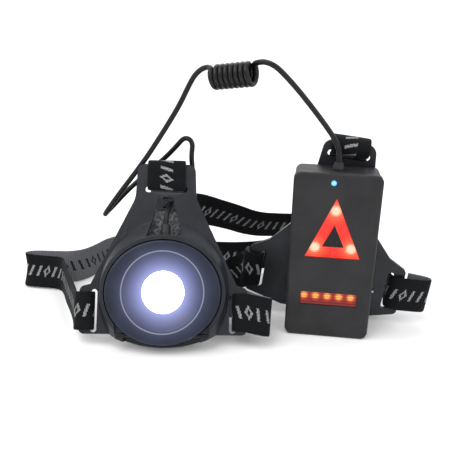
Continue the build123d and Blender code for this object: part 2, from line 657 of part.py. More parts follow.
def right_strap_stations():
    v = SIDE_SLOT_V
    start = on_lamp((0, 1, 0), (42.8, v, -1.1), (38.6, v, -1.1), (36.8, v, -0.6), (36.5, v, 1.25),
                    (36.8, v, 3.1), (38.8, v, 4.3), (43.4, v, 4.7))
    fold = on_lamp((0.06, 1, 0), (49, v - 1.2, 4.8), (54.6, v - 2.4, 3.8), (56.6, v - 2.4, 0.4),
                   (54.4, v - 1.6, -3.2), (48, v - 0.4, -6.0))
    behind = straight((2, -8.5, 13.4), (-36, 11.5, 13.4), (0, 0, 1))
    behind += standing((0, 0.1), (-43, 17.0, 12.4), (-45, 22.5, 11.4), (-39, 27.2, 10.6),
                       (-26, 29.8, 10.6), (-12, 31, 10.6))
    rise = standing((0, 0), (-4, 31.8, 11.6), (2.4, 30.2, 15), (6.4, 26, 19.6), (7.4, 20.2, 24.6))
    v = REAR_SLOT_V
    end = on_rear((0, 0, 1), (-46.4, 29.0, v), (-47.2, 24.0, v), (-45.2, 20.6, v), (-41.5, 20.0, v),
                  (-37.4, 20.9, v), (-36.4, 22.2, v), (-36.5, 24.9, v), (-38.0, 26.2, v), (-43, 26.4, v))
    return start + fold + behind + rise + end


def shoulder_strap_stations():
    top = PLATE_H
    start = on_lamp((1, 0, 0), (0, 93, -1.1), (0, 86, -1.1), (0, 84.2, -0.6), (0, 83.9, 1.25),
                    (0, 84.2, 3.1), (0, 86, 4.2), (0, 89, 4.5), (0, top - 0.9, 4.5),
                    (0, top + 2.2, 1.7), (0, top + 1.4, -2.6), (0, 92, -9.4), (0, 84, -13.6),
                    (0, 76, -16.4))
    turn = [((-33.5, 18.5, 58.5), (0.8, 0.0, -0.5)), ((-28, 29, 55.5), (0.45, 0.25, -0.8)),
            ((-20, 40, 52), (0.15, 0.4, -0.9))]
    down = standing((-0.1, -0.45), (-4, 49, 45.5), (12, 56, 38), (28, 60.5, 36.4), (44, 61, 36.6))
    climb = [((55, 58.5, 36.8), (0.2, -0.3, 0.9)), ((63, 52, 37.6), (0.5, -0.1, 0.8)),
             ((67.5, 43, 38.6), (0.75, 0.1, 0.55)), ((68.6, 33.5, 41.6), (0.9, 0.15, 0.3)),
             ((67.2, 26, 45), (0.97, 0.1, 0.15))]
    v = REAR_TOP_SLOT_V
    rise = straight(placed_point(rear_at, 9, 42.5, 50), placed_point(rear_at, 2.5, 38.5, 86), rear_x())
    end = rise + on_rear((1, 0, 0), (0.5, 31.5, v - 3), (0, 26.2, v - 0.4), (0, 22.6, v + 0.2),
                         (0, 19.8, v + 0.8), (0, 17.2, v + 2.8), (0, 17.4, v + 6.6),
                         (0, 20.4, v + 9.4), (0, 25.4, v + 9.8), (0, 29.4, v + 7.2),
                         (0, 30.4, v + 2.6))
    return start + turn + other_way_up(down + climb + end)


def slider(across, along, middle):
    """Tri-glide: two end bars in front of the strap, one bar behind it, joined at both edges."""
    inner = STRAP_W + 2 * GAP
    outer = inner + 2 * SLIDER_RIM
    gap = STRAP_T + 2 * GAP
    front = gap / 2
    bars = [Pos(shift, 0, front + SLIDER_T / 2) * Box(SLIDER_RIM, outer, SLIDER_T) for shift in (-5, 5)]
    back = Pos(0, 0, -front - SLIDER_T / 2) * Box(SLIDER_RIM, outer, SLIDER_T)
    rails = [Pos(0, side * (inner + SLIDER_RIM) / 2, 0) * Box(10 + SLIDER_RIM, SLIDER_RIM, gap + 2 * SLIDER_T)
             for side in (-1, 1)]
    body = back
    for piece in bars + rails:
        body += piece
    facing = Vector(along).cross(Vector(across))
    return Plane(origin=middle, x_dir=along, z_dir=facing).location * body


def straight_slider(stations):
    """A slider in the middle of the strap's one straight stretch."""
    def bend(i):
        points = [Vector(stations[k][0]) for k in (i - 1, i, i + 1, i + 2)]
        first = (points[1] - points[0]).get_angle(points[2] - points[1])
        return first + (points[2] - points[1]).get_angle(points[3] - points[2])

    first = min(range(1, len(stations) - 2), key=bend)
    a, b = Vector(stations[first][0]), Vector(stations[first + 1][0])
    across = Vector(stations[first][1])
    along = (b - a).normalized()
    across = (across - along * across.dot(along)).normalized()
    return slider(across, along, (a + b) / 2), (a + b) / 2, along


# ---------------------------------------------------------------- cable
def coil_port(side):
    """Where the cable meets an end face of the coil, and the point before it on the same line."""
    lift = (Vector(0, 0, 1) - COIL_AXIS * COIL_AXIS.Z).normalized() * (COIL_D - CABLE_D) / 2
    port = COIL_MIDDLE + COIL_AXIS * (side * COIL_L / 2) + lift
    return port, port + COIL_AXIS * (side * 5.0)


def lamp_route():
    """From the lamp's gland, back through the window, once to the left and up to the coil."""
    through = [lamp_point(*point) for point in (
        (GLAND_U, gland_seat() + GLAND_L, GLAND_W), (0.4, 69.0, 5.0), (1.2, 73.0, 3.0),
        (2.8, 76.2, -1.0), (5.8, 79.2, -5.4), (9.8, 83.4, -8.2), (12.6, 89.6, -8.6),
        (13.4, 96.8, -7.0))]
    port, lead = coil_port(-1)
    return through + [(-25.2, 12.2, 92.0), (-24.2, 13.2, 99.4), (-28.8, 14.6, 102.0),
                      (-34.0, 17.6, 95.6), (-40.4, 20.2, 88.6), (-48.4, 20.6, 81.4),
                      (-55.8, 19.4, 75.0), (-62.6, 17.8, 68.8), (-69.0, 16.8, 61.8),
                      (-73.6, 15.4, 57.0), (-73.8, 9.0, 57.2), (-70.4, 8.2, 62.4),
                      (-64.4, 8.0, 70.8), (-56.6, 7.4, 81.0), (-48.8, 6.6, 91.6),
                      (-42.6, 6.0, 101.0), (-36.0, 5.6, 111.4), (-30.4, 6.0, 120.8),
                      (-26.8, 7.0, 128.4), (-23.6, 7.8, 134.6), lead, port]


def case_route():
    """From the coil down to the top of the battery case."""
    port, lead = coil_port(1)
    top = placed_point(case_at, 0, GLAND_Y, case_gland_top())
    return [port, lead, (17.6, -6.9, 142.0), (22.8, -7.4, 137.4), (28.6, -7.8, 131.6),
            (34.4, -8.2, 125.2), (39.6, -8.4, 119.2), (44.6, -8.55, 113.2), (48.3, -8.65, 108.4),
            (51.0, -8.78, 103.8), (top.X, top.Y, top.Z + 3.7), top]


def bend_radii(points):
    """The largest arc that each corner's two runs allow."""
    radii = []
    for before, corner, after in zip(points, points[1:], points[2:]):
        run = min((corner - before).length, (after - corner).length)
        turn = radians((corner - before).get_angle(after - corner))
        radii.append(0.45 * run / tan(turn / 2))
    return radii


def cable_tube(route, name):
    points = [Vector(point) for point in route]
    radii = bend_radii(points)
    path = FilletPolyline(*points, radius=radii)
    start = Plane(origin=path @ 0, z_dir=path % 0)
    tube = sweep(start * Circle(CABLE_D / 2), path)
    section = pi * (CABLE_D / 2) ** 2
    print(name, "length %.1f" % path.length, "radii", [round(r, 1) for r in radii],
          "volume share %.4f" % (tube.volume / (section * path.length)))
    return tube


def coil():
    return Plane(origin=COIL_MIDDLE, z_dir=COIL_AXIS).location * Cylinder(COIL_D / 2, COIL_L)


# ---------------------------------------------------------------- build
def build():
    lamp = lamp_plane.location
    left, right, shoulder = left_strap_stations(), right_strap_stations(), shoulder_strap_stations()
    left_slider, left_at, left_along = straight_slider(left)
    right_slider, right_at, right_along = straight_slider(right)
    top_slider, top_at, top_along = straight_slider(shoulder)
    for name, at, along in (("left", left_at, left_along), ("right", right_at, right_along),
                            ("shoulder", top_at, top_along)):
        print("slider", name, at, along)
    plate_cut = rear_turn * rear_plate()
    for cut in plate_screw_cuts():
        plate_cut -= cut
    return {
        "front_plate": lamp * front_plate(),
        "front_pad": lamp * front_pad(),
        "lamp_gland": lamp * lamp_gland(),
        "hinge_pins": [lamp * pin for pin in hinge_pins()],
        "lamp_bezel": lamp * lamp_bezel(),
        "lamp_trim_ring": lamp * trim_ring(),
        "lamp_lens": lamp * lamp_lens(),
        "lamp_shell": lamp * lamp_shell(),
        "heat_sink": lamp * heat_sink(),
        "led_board": lamp * led_board(),
        "led_emitter": lamp * led_emitter(),
        "lens_seal": lamp * lens_seal(),
        "lamp_screws": [lamp * screw for screw in lamp_screws()],
        "case_cover": case_at * case_cover(),
        "case_body": case_at * case_body(),
        "case_seal": case_at * case_seal(),
        "triangle_lens": case_at * triangle_lens(),
        "triangle_badge": case_at * triangle_badge(),
        "triangle_leds": [case_at * chip for chip in chips(triangle_led_spots(), 3.2)],
        "bar_lens": case_at * bar_lens(),
        "bar_leds": [case_at * chip for chip in chips(bar_led_spots(), 2.8)],
        "indicator_pipe": case_at * indicator_pipe(),
        "indicator_led": [case_at * chip for chip in chips([(INDICATOR_X, INDICATOR_Z)], 2.4)],
        "circuit_board": case_at * circuit_board(),
        "battery_tape": case_at * battery_tape(),
        "battery_cell": case_at * battery_cell(),
        "tact_switch": case_at * tact_switch(),
        "power_button": case_at * power_button(),
        "usb_socket": case_at * usb_socket(),
        "usb_cover": case_at * usb_cover(),
        "usb_cover_pin": case_at * usb_cover_pin(),
        "case_gland": case_at * case_gland(),
        "case_screws": [case_at * screw for screw in case_screws()],
        "rear_plate": case_at * plate_cut,
        "rear_pad": rear_at * rear_pad(),
        "left_strap": ribbon(left),
        "right_strap": ribbon(right),
        "shoulder_strap": ribbon(shoulder),
        "left_slider": left_slider,
        "right_slider": right_slider,
        "shoulder_slider": top_slider,
        "cord_lamp_side": cable_tube(lamp_route(), "lamp side"),
        "cord_coil": coil(),
        "cord_case_side": cable_tube(case_route(), "case side"),
    }


def main():
    os.makedirs("parts", exist_ok=True)
    settle = Location((SET_X, SET_Y, 0))
    for name, shape in build().items():
        solids = []
        for piece in (shape if isinstance(shape, list) else [shape]):
            solids += piece.solids()
        moved = [settle * solid for solid in solids]
        export_step(moved[0] if len(moved) == 1 else Compound(children=moved), "parts/%s.step" % name)


main()
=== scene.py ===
# %% [markdown]
# # A chest-worn running light
# The set has a white lamp on a front plate, a battery case with a red warning light on a rear
# plate, three elastic straps and a cable with a coiled middle. The exact solids come from a CAD
# model, and this lesson gives them their surfaces: moulded plastic, woven elastic, foam, rubber
# and light. The CAD model is loaded first, as a frame that nothing here may move.

# %% Load the frame
import math
import bmesh
import bpy
from mathutils import Matrix, Vector


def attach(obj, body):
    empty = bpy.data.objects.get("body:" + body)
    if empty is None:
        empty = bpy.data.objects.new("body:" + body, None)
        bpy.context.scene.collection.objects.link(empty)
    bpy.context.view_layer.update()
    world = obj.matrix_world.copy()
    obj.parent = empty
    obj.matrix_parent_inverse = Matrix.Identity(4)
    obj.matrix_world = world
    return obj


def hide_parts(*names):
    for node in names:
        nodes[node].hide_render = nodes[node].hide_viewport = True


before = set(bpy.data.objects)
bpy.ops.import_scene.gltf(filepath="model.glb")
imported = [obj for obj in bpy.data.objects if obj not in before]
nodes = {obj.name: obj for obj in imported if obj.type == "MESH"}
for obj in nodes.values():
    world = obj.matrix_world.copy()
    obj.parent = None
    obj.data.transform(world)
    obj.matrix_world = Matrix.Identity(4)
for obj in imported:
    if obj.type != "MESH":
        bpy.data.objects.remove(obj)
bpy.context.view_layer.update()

# %% [markdown]
# The frame counts in metres, but sizes on so small an object are easier to read in millimetres.
# Three short helpers turn a point that is given on the front plate, on the battery case or on the
# rear plate into a point in the frame, so that each piece can be described where it belongs.

# %% Places on the object
MM = 0.001
LAYOUT = Matrix.Scale(MM, 4) @ Matrix.Translation((10.394, -18.731, 0))
LEAN, YAW = math.radians(26.0), math.radians(1.8)
across = Vector((math.cos(YAW), math.sin(YAW), 0))
outward = Vector((math.sin(YAW) * math.cos(LEAN), -math.cos(YAW) * math.cos(LEAN), math.sin(LEAN)))
turned = Matrix((across, outward.cross(across), outward)).transposed().to_4x4()
PLATE = LAYOUT @ Matrix.Translation((-36.3, -36.3, 0)) @ turned
CASE = LAYOUT @ Matrix.Translation((51, -20, 0)) @ Matrix.Rotation(math.radians(-6.7), 4, "Z")
REAR = CASE @ Matrix.Translation((0, 0, 46)) @ Matrix.Rotation(math.radians(6), 4, "Y") \
    @ Matrix.Translation((0, 0, -46))
print("middle of the lamp:", PLATE @ Vector((0, 29, 11)))

# %% [markdown]
# The camera comes first, because the cable's loops are judged through it. It stands a third of a
# metre away, looks down by about twenty degrees and is held very slightly tilted.

# %% Camera
ELEVATION, DISTANCE, TILT = math.radians(20.4), 331.7, math.radians(1.6)
sight = Vector((0, math.cos(ELEVATION), -math.sin(ELEVATION)))
level = Vector((1, 0, 0))
rise = level.cross(sight)
side = level * math.cos(TILT) + rise * math.sin(TILT)
top = rise * math.cos(TILT) - level * math.sin(TILT)
stand = Matrix((side, top, -sight)).transposed().to_4x4()
stand.translation = LAYOUT @ (Vector((0, 0, 50)) - sight * DISTANCE)
camera_data = bpy.data.cameras.new("camera")
camera_data.sensor_width = 36
camera_data.lens = 36 * 600 / 473
camera_data.clip_start = 0.01
camera = bpy.data.objects.new("camera", camera_data)
camera.matrix_world = stand
bpy.context.collection.objects.link(camera)
bpy.context.scene.camera = camera
print("camera at", camera.location)

# %% [markdown]
# A small object on white paper is lit from large, soft sources, so its shadow is a short grey
# haze at its foot. The paper is one sheet that curves up behind the object, which hides the
# horizon. A white surrounding light fills the shadows, and one large lamp gives them a direction.

# %% Paper sheet
def add_object(name, mesh_data):
    made = bpy.data.objects.new(name, mesh_data)
    bpy.context.collection.objects.link(made)
    return made


sheet_line = [(-1.2, 0.0), (0.75, 0.0)]
for step in range(1, 13):
    turn = math.radians(7.5 * step)
    sheet_line.append((0.75 + 0.5 * math.sin(turn), 0.5 - 0.5 * math.cos(turn)))
sheet_line.append((1.25, 1.6))
paper_mesh = bpy.data.meshes.new("paper")
paper_points = [(x, y, z) for y, z in sheet_line for x in (-1.8, 1.8)]
paper_faces = [(2 * i, 2 * i + 1, 2 * i + 3, 2 * i + 2) for i in range(len(sheet_line) - 1)]
paper_mesh.from_pydata(paper_points, [], paper_faces)
paper_mesh.polygons.foreach_set("use_smooth", [True] * len(paper_mesh.polygons))
paper = add_object("paper", paper_mesh)
print("paper strips:", len(paper_faces))

# %% Lights
def soft_light(name, place, aim, size, watts, colour=(1, 1, 1)):
    data = bpy.data.lights.new(name, "AREA")
    data.size = size
    data.energy = watts
    data.color = colour
    made = bpy.data.objects.new(name, data)
    made.location = place
    made.rotation_euler = (Vector(aim) - Vector(place)).to_track_quat("-Z", "Y").to_euler()
    bpy.context.collection.objects.link(made)
    return made


soft_light("key_light", (-0.45, -0.35, 0.95), (0, 0, 0.03), 0.9, 7.0)
soft_light("fill_light", (0.7, -0.5, 0.6), (0.03, 0, 0.04), 0.8, 2.4)
soft_light("back_light", (0.05, 0.75, 0.8), (0, 0, 0.05), 0.8, 3.0)
world = bpy.data.worlds.new("white_room")
world.use_nodes = True
world.node_tree.nodes["Background"].inputs["Color"].default_value = (1, 1, 1, 1)
world.node_tree.nodes["Background"].inputs["Strength"].default_value = 0.85
bpy.context.scene.world = world
bpy.context.scene.view_settings.view_transform = "Standard"

# %% [markdown]
# Materials are built from nodes. One helper adds a node with its settings and its links, and
# another turns the usual hex colour into the linear colour that the renderer works with. All
# textures follow the object's own coordinates, so a grain size can be given in millimetres.

# %% Node helpers
def colour(code):
    """A hex colour as linear red, green, blue and alpha."""
    parts = [int(code[i:i + 2], 16) / 255 for i in (1, 3, 5)]
    return tuple(p / 12.92 if p <= 0.04045 else ((p + 0.055) / 1.055) ** 2.4 for p in parts) + (1,)


def add(tree, kind, inputs=None, **settings):
    """Adds one node; inputs holds values, or the outputs that feed them."""
    made = tree.nodes.new(kind)
    for name, value in settings.items():
        setattr(made, name, value)
    for key, value in (inputs or {}).items():
        if isinstance(value, bpy.types.NodeSocket):
            tree.links.new(value, made.inputs[key])
        else:
            made.inputs[key].default_value = value
    return made


def blank(name, **values):
    """A new material with one surface shader; values are set on the shader's own sockets."""
    made = bpy.data.materials.new(name)
    made.use_nodes = True
    tree = made.node_tree
    tree.nodes.clear()
    surface = add(tree, "ShaderNodeBsdfPrincipled",
                  {key.replace("_", " "): value for key, value in values.items()})
    add(tree, "ShaderNodeOutputMaterial", {"Surface": surface.outputs[0]})
    return made, tree, surface


def noise(tree, size_mm, detail=2.0, where="Object"):
    """A random pattern whose patches are about size_mm across."""
    place = add(tree, "ShaderNodeTexCoord")
    return add(tree, "ShaderNodeTexNoise", {"Vector": place.outputs[where], "Scale": 1000 / size_mm,
                                            "Detail": detail}).outputs["Fac"]


def blend_colours(tree, factor, first, second):
    return add(tree, "ShaderNodeMix", {"Factor": factor, 6: first, 7: second},
               data_type="RGBA").outputs[2]


def spread(tree, value, low, high, to_low, to_high):
    """value from low..high, moved to to_low..to_high and held there."""
    return add(tree, "ShaderNodeMapRange", {"Value": value, "From Min": low, "From Max": high,
                                            "To Min": to_low, "To Max": to_high}).outputs[0]


def math_of(tree, operation, first, second=0.0):
    return add(tree, "ShaderNodeMath", {0: first, 1: second}, operation=operation).outputs[0]


def ruler(tree, origin, direction):
    """How far the surface lies from origin along direction, in millimetres."""
    place = add(tree, "ShaderNodeTexCoord")
    offset = add(tree, "ShaderNodeVectorMath", {0: place.outputs["Object"], 1: origin},
                 operation="SUBTRACT")
    return add(tree, "ShaderNodeVectorMath", {0: offset.outputs[0], 1: Vector(direction) / MM},
               operation="DOT_PRODUCT").outputs["Value"]


def distance(tree, origin):
    """How far the surface lies from origin, in millimetres."""
    place = add(tree, "ShaderNodeTexCoord")
    metres = add(tree, "ShaderNodeVectorMath", {0: place.outputs["Object"], 1: origin},
                 operation="DISTANCE").outputs["Value"]
    return math_of(tree, "MULTIPLY", metres, 1 / MM)


print("charcoal in linear light:", [round(v, 4) for v in colour("#3a3a3e")])

# %% [markdown]
# The paper is uncoated white card: fully matt, with a trace of fibre in its surface.

# %% White card
card, tree, surface = blank("white_card", Base_Color=colour("#f6f6f6"), Roughness=0.9)
fibre = add(tree, "ShaderNodeBump", {"Height": noise(tree, 1.5), "Strength": 0.04,
                                     "Distance": 0.0001})
tree.links.new(fibre.outputs[0], surface.inputs["Normal"])
paper.data.materials.append(card)
print("material:", card.name)

# %% [markdown]
# Both plates, the lamp's bezel and the case are moulded ABS. A spark-eroded mould leaves a fine
# dull grain of about a third of a millimetre. That is finer than the render can show, so the
# grain here is 0.8 mm. Dust and handling make the sheen slightly uneven over a centimetre or two.

# %% Moulded plastics
def moulded(name, dark, light, sheen, grain_mm=0.8, depth=0.00004, mirror=0.22):
    made, tree, surface = blank(name, IOR=1.54, Roughness=sheen, Specular_IOR_Level=mirror)
    patches = noise(tree, 14.0, 3.0)
    base = blend_colours(tree, spread(tree, patches, 0.35, 0.65, 0.0, 1.0), colour(dark),
                         colour(light))
    tree.links.new(base, surface.inputs["Base Color"])
    rough = spread(tree, noise(tree, 6.0, 4.0), 0.3, 0.7, sheen - 0.06, sheen + 0.06)
    tree.links.new(rough, surface.inputs["Roughness"])
    grain = add(tree, "ShaderNodeBump", {"Height": noise(tree, grain_mm, 1.0), "Strength": 0.25,
                                         "Distance": depth})
    tree.links.new(grain.outputs[0], surface.inputs["Normal"])
    return made, tree, surface


plate_abs = moulded("moulded_abs_slate", "#14161b", "#1c2029", 0.38, mirror=0.32)[0]
case_abs = moulded("moulded_abs_charcoal", "#212123", "#29292b", 0.48)[0]
gloss_black = moulded("moulded_acetal_black", "#0e0e10", "#151517", 0.3, 1.2)[0]
print("plastics:", plate_abs.name, case_abs.name, gloss_black.name)

# %% [markdown]
# The bezel is the same plastic in a softer gloss, and it is bathed in the lamp's own light. The
# light falls off quickly with the distance from the lens, from white to lavender to nothing, so
# the glow is painted by that distance and stays right from every side.

# %% Lamp bezel and lens in the lamp's glow
LENS_SPOT = PLATE @ Vector((0, 29, 9))


def glow(tree, surface, reach, strength, tint):
    """Light that fades with the distance from the lens."""
    near = spread(tree, distance(tree, LENS_SPOT), 9.0, reach, 1.0, 0.0)
    fade = math_of(tree, "POWER", near, 3.4)
    lit = blend_colours(tree, fade, (0, 0, 0, 1), colour(tint))
    tree.links.new(lit, surface.inputs["Emission Color"])
    surface.inputs["Emission Strength"].default_value = strength


bezel_abs, tree, surface = moulded("moulded_abs_navy", "#191d29", "#212737", 0.34)
glow(tree, surface, 33.0, 1.1, "#b4bcff")
lens_clear, tree, surface = blank("frosted_polycarbonate", Base_Color=colour("#f4f6ff"),
                                  Roughness=0.25, IOR=1.585, Emission_Strength=6.0)
middle_of_lens = spread(tree, distance(tree, LENS_SPOT), 3.0, 12.0, 0.0, 1.0)
tree.links.new(blend_colours(tree, middle_of_lens, colour("#ffffff"), colour("#dfe4ff")),
               surface.inputs["Emission Color"])
print("glow round", LENS_SPOT)

# %% [markdown]
# The trim ring is bright-plated plastic, and the screws, the cover's pin and the socket are plain
# steel. Both are metals to the eye: all colour comes from the reflection, and turning or rolling
# leaves fine streaks in the gloss.

# %% Metals
def metal(name, tint, sheen, streak_mm):
    made, tree, surface = blank(name, Base_Color=colour(tint), Metallic=1.0, Roughness=sheen)
    rough = spread(tree, noise(tree, streak_mm, 4.0), 0.3, 0.7, sheen - 0.05, sheen + 0.08)
    tree.links.new(rough, surface.inputs["Roughness"])
    return made


plated = metal("bright_plating", "#9aa0b4", 0.2, 2.0)
steel = metal("zinc_plated_steel", "#b9b9bb", 0.35, 0.6)
aluminium = metal("turned_aluminium", "#c4c5c8", 0.3, 0.8)
print("metals:", plated.name, steel.name, aluminium.name)

# %% [markdown]
# The warning lenses are clear red acrylic over small LEDs. Each LED makes a hot, almost white
# spot that turns orange and then red with distance. Fine ribs run beside the lens's edges and
# spread the light, so the glow is striped.

# %% Warning lenses
FACE_X = (CASE.to_3x3() @ Vector((1, 0, 0))).normalized()
UP = Vector((0, 0, 1))


def hot_spots(tree, places, core, halo, deep, warm, white):
    """Colour that goes from white at the nearest LED through warm to deep."""
    nearest = distance(tree, places[0])
    for place in places[1:]:
        nearest = math_of(tree, "MINIMUM", nearest, distance(tree, place))
    warmth = math_of(tree, "POWER", spread(tree, nearest, core, halo, 1.0, 0.0), 1.6)
    heat = spread(tree, nearest, core * 0.5, core, 1.0, 0.0)
    return blend_colours(tree, heat, blend_colours(tree, warmth, colour(deep), colour(warm)),
                         colour(white))


red_acrylic, tree, surface = blank("clear_red_acrylic", Roughness=0.12, IOR=1.49,
                                   Base_Color=colour("#c01a10"), Emission_Strength=1.0)
leg = math.atan2(28.6 / 2, 32.2)
low = ruler(tree, CASE @ Vector((0, 0, 46.8)), UP)
left = ruler(tree, CASE @ Vector((0, 0, 79)), -UP * math.sin(leg) + FACE_X * math.cos(leg))
right = ruler(tree, CASE @ Vector((0, 0, 79)), -UP * math.sin(leg) - FACE_X * math.cos(leg))
edge = math_of(tree, "MINIMUM", math_of(tree, "MINIMUM", left, right), low)
ribs = math_of(tree, "SINE", math_of(tree, "MULTIPLY", edge, 2 * math.pi / 1.1))
triangle_leds = [CASE @ Vector(p) for p in ((0, 1, 72.6), (-9.4, 1, 52.3), (9.4, 1, 52.3))]
light = hot_spots(tree, triangle_leds, 3.3, 8.5, "#dc1e10", "#ff6a3c", "#fff3cf")
striped = blend_colours(tree, spread(tree, ribs, -1.0, 1.0, 0.0, 0.3), light, colour("#8a0c06"))
tree.links.new(striped, surface.inputs["Emission Color"])
ridge = add(tree, "ShaderNodeBump", {"Height": ribs, "Strength": 0.5, "Distance": 0.0003})
tree.links.new(ridge.outputs[0], surface.inputs["Normal"])

bar_acrylic, tree, surface = blank("dark_red_acrylic", Roughness=0.15, IOR=1.49,
                                   Base_Color=colour("#5a0c08"), Emission_Strength=1.0)
height = ruler(tree, CASE @ Vector((0, 0, 19.2)), UP)
ribs = math_of(tree, "SINE", math_of(tree, "MULTIPLY", height, 2 * math.pi / 1.46))
bar_leds = [CASE @ Vector((-13.1 + 6.2 * i, 1, 24.4)) for i in range(5)]
light = hot_spots(tree, bar_leds, 2.2, 3.8, "#5c0d08", "#c8381a", "#ffc45a")
striped = blend_colours(tree, spread(tree, ribs, -1.0, 1.0, 0.0, 0.45), light, colour("#3a0705"))
tree.links.new(striped, surface.inputs["Emission Color"])
print("LED spots:", len(triangle_leds), "and", len(bar_leds))

# %% [markdown]
# The small blue light beside the cable is the end of a clear pipe. Its glow is the plainest of
# all: bright blue in the middle and darker at the rim.

# %% Blue indicator and the parts inside
blue_pipe, tree, surface = blank("clear_blue_acrylic", Roughness=0.1, IOR=1.49,
                                 Base_Color=colour("#1a6ab0"), Emission_Strength=1.5)
rim = spread(tree, distance(tree, CASE @ Vector((-2.2, 0.1, 87.2))), 0.3, 1.6, 0.0, 1.0)
tree.links.new(blend_colours(tree, rim, colour("#8fd0ff"), colour("#1d7fd8")),
               surface.inputs["Emission Color"])


def speckled(name, dark, light, sheen, size_mm):
    """A finish with small patches of two close colours."""
    made, tree, surface = blank(name, Roughness=sheen)
    tree.links.new(blend_colours(tree, spread(tree, noise(tree, size_mm, 2.0), 0.4, 0.6, 0.0, 1.0),
                                 colour(dark), colour(light)), surface.inputs["Base Color"])
    bump = add(tree, "ShaderNodeBump", {"Height": noise(tree, size_mm, 2.0), "Strength": 0.3,
                                        "Distance": 0.0001})
    tree.links.new(bump.outputs[0], surface.inputs["Normal"])
    return made


solder_mask = speckled("green_solder_mask", "#0b3a1c", "#11502a", 0.25, 1.5)
white_mask = speckled("white_solder_mask", "#d8d8d2", "#ecece8", 0.3, 1.5)
pouch_foil = speckled("pouch_cell_foil", "#a8abb0", "#c2c5ca", 0.3, 3.0)
foam_tape = speckled("white_foam_tape", "#d0d0cc", "#e6e6e2", 0.8, 0.8)
phosphor = speckled("led_phosphor", "#f0d060", "#ffe890", 0.4, 0.8)
rubber = speckled("nitrile_rubber_black", "#0d0d0e", "#151516", 0.55, 0.9)
print("inner finishes:", solder_mask.name, pouch_foil.name, rubber.name)

# %% [markdown]
# A CAD node whose shape is right keeps it and only gets its finish. Sharp corners catch no light,
# though, and a moulded part has none: its edges are welded together again and rounded by a small
# bevel, both as modifiers, so that the solid underneath stays as it is. The hinge pins are steel,
# but they are drawn in the sliders' black, because bright pins would shine out under the lamp.

# %% Finishes for the CAD nodes
finishes = {
    plate_abs: ["rear_plate", "lamp_shell"], case_abs: ["case_cover", "case_body"],
    bezel_abs: ["lamp_bezel"], plated: ["lamp_trim_ring"], lens_clear: ["lamp_lens"],
    steel: ["usb_cover_pin", "case_screws", "lamp_screws", "usb_socket"],
    aluminium: ["heat_sink"], red_acrylic: ["triangle_lens"], bar_acrylic: ["bar_lens"],
    blue_pipe: ["indicator_pipe"], solder_mask: ["circuit_board"], white_mask: ["led_board"],
    pouch_foil: ["battery_cell"], foam_tape: ["battery_tape"],
    phosphor: ["triangle_leds", "bar_leds", "indicator_led", "led_emitter"],
    rubber: ["case_seal", "lens_seal", "usb_cover", "case_gland", "lamp_gland"],
    gloss_black: ["hinge_pins", "power_button", "tact_switch", "triangle_badge", "left_slider",
                  "right_slider",
                  "shoulder_slider"]}
for finish, names in finishes.items():
    for name in names:
        for held in nodes[name].material_slots:
            held.material = finish


def soften(name, width_mm, angle=35):
    target = nodes[name]
    weld = target.modifiers.new("weld", "WELD")
    weld.merge_threshold = 0.002 * MM
    bevel = target.modifiers.new("edges", "BEVEL")
    bevel.width = width_mm * MM
    bevel.segments = 2
    bevel.limit_method = "ANGLE"
    bevel.angle_limit = math.radians(angle)
    bevel.use_clamp_overlap = True


for name in ("left_slider", "right_slider", "shoulder_slider"):
    soften(name, 0.5)
for name in ("rear_plate", "power_button"):
    soften(name, 0.3)
print("finished nodes:", sum(len(names) for names in finishes.values()))

# %% [markdown]
# The cable is one length of 2.8 mm cord. It leaves the lamp's collar, dives through the window of
# the plate, makes a tight fold in the air on the left, rises to its coiled middle and comes down
# into the case. A curve with a round bevel is made for this: its control points are the route, and
# a curve of order three rounds every corner by itself. The coil is only more points on the same
# curve: sixteen to a turn, eight turns.

# %% Cable route
lamp_run = [PLATE @ Vector(p) for p in (
    (0.4, 64.6, 5.0), (0.4, 69.0, 5.0), (1.2, 73.0, 3.0), (2.8, 76.2, -1.0), (5.8, 79.2, -5.4),
    (9.8, 83.4, -8.2), (12.6, 89.6, -8.6), (13.4, 96.8, -7.0))]
rising_run = [LAYOUT @ Vector(p) for p in (
    (-25.2, 12.2, 92.0), (-24.2, 13.2, 99.4), (-28.8, 14.6, 102.0), (-34.0, 17.6, 95.6),
    (-40.4, 20.2, 88.6), (-48.4, 20.6, 81.4), (-55.8, 19.4, 75.0), (-62.6, 17.8, 68.8),
    (-69.0, 16.8, 61.8), (-73.6, 15.4, 57.0), (-73.8, 9.0, 57.2), (-70.4, 8.2, 62.4),
    (-64.4, 8.0, 70.8), (-56.6, 7.4, 81.0), (-48.8, 6.6, 91.6), (-42.6, 6.0, 101.0),
    (-36.0, 5.6, 111.4), (-30.4, 6.0, 120.8), (-26.8, 7.0, 128.4), (-23.6, 7.8, 134.6),
    (-20.0, 8.2, 138.2), (-16.6, 7.4, 139.5))]
falling_run = [LAYOUT @ Vector(p) for p in (
    (9.6, -3.9, 143.4), (12.6, -5.6, 143.8), (17.6, -6.9, 142.0), (22.8, -7.4, 137.4),
    (28.6, -7.8, 131.6), (34.4, -8.2, 125.2), (39.6, -8.4, 119.2), (44.6, -8.55, 113.2),
    (48.3, -8.65, 108.4), (51.0, -8.78, 103.8))]
falling_run += [CASE @ Vector((0, 11.25, z)) for z in (99.4, 95.7)]
CORD, COIL, TURNS, PER_TURN = 2.8, 13.0, 8, 16
coil_axis = Vector((0.915, -0.377, 0.144)).normalized()
coil_up = (UP - coil_axis * coil_axis.z).normalized()
coil_front = coil_axis.cross(coil_up)
coil_middle = Vector((-3.0, 0.7, 136.2))
coil_run = []
